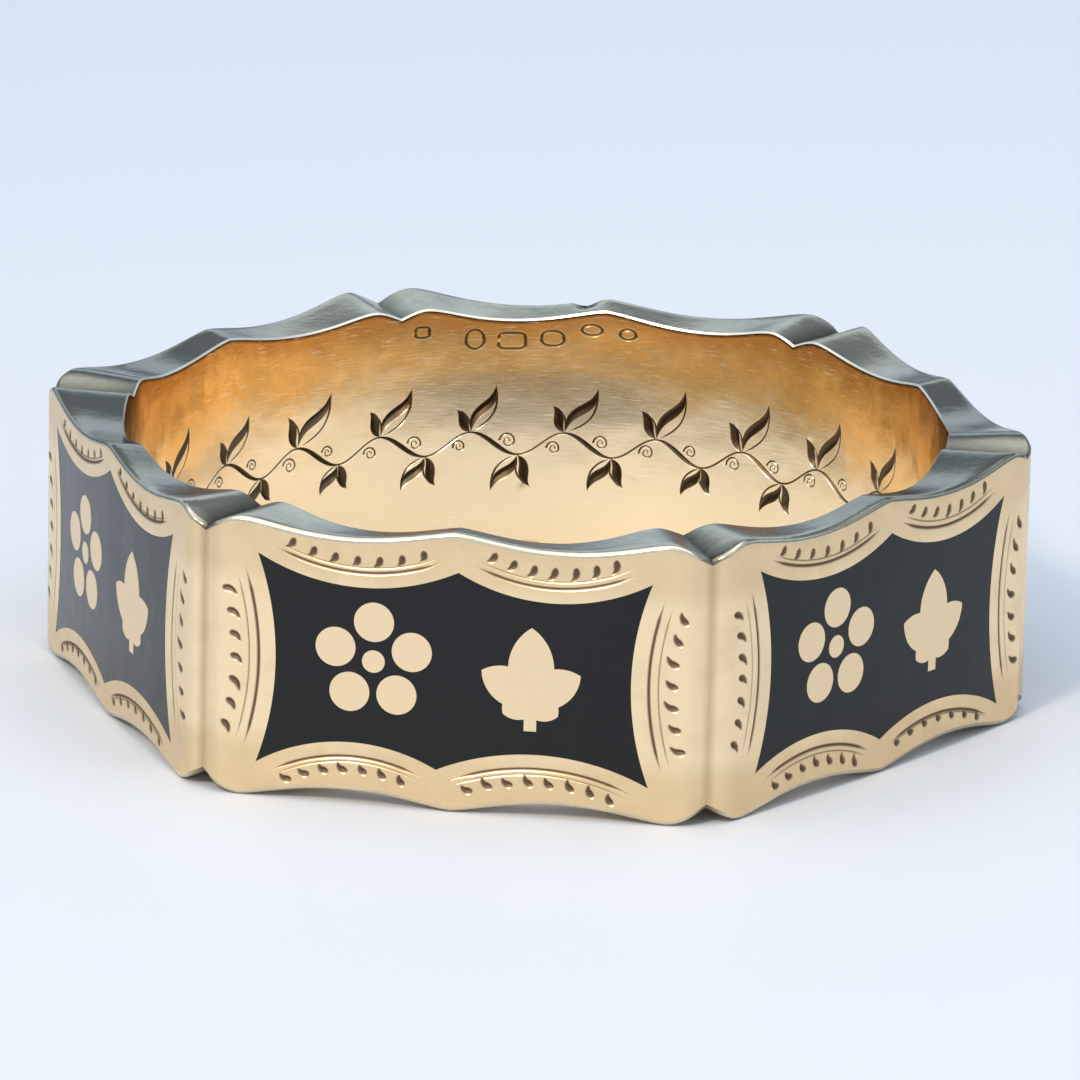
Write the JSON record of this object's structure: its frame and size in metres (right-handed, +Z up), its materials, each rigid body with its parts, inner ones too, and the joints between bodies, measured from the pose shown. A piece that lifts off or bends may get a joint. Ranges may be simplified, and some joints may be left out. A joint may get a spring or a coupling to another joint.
{
  "type": "mourning ring, six-sided gold band with black enamel fields",
  "caption": "Six-sided gold band ring with scalloped rims, black enamel fields let into its sides and plain gold flowers and leaves standing in the enamel.",
  "frame": {"origin": "centre of the finger hole, in the plane that the lower rim rests on", "axes": "+Z up along the finger hole's axis, +X through two opposite corners, -Y the front side"},
  "size_m": [0.0212, 0.0192, 0.006],
  "materials": {
    "gold": "worn polished yellow gold, lightly scratched",
    "enamel": "black glass enamel ground flush and polished"
  },
  "bodies": {
    "root": {"band": "gold", "enamel_front": "enamel", "enamel_front_right": "enamel", "enamel_back_right": "enamel", "enamel_back": "enamel", "enamel_back_left": "enamel", "enamel_front_left": "enamel"}
  },
  "joints": []
}
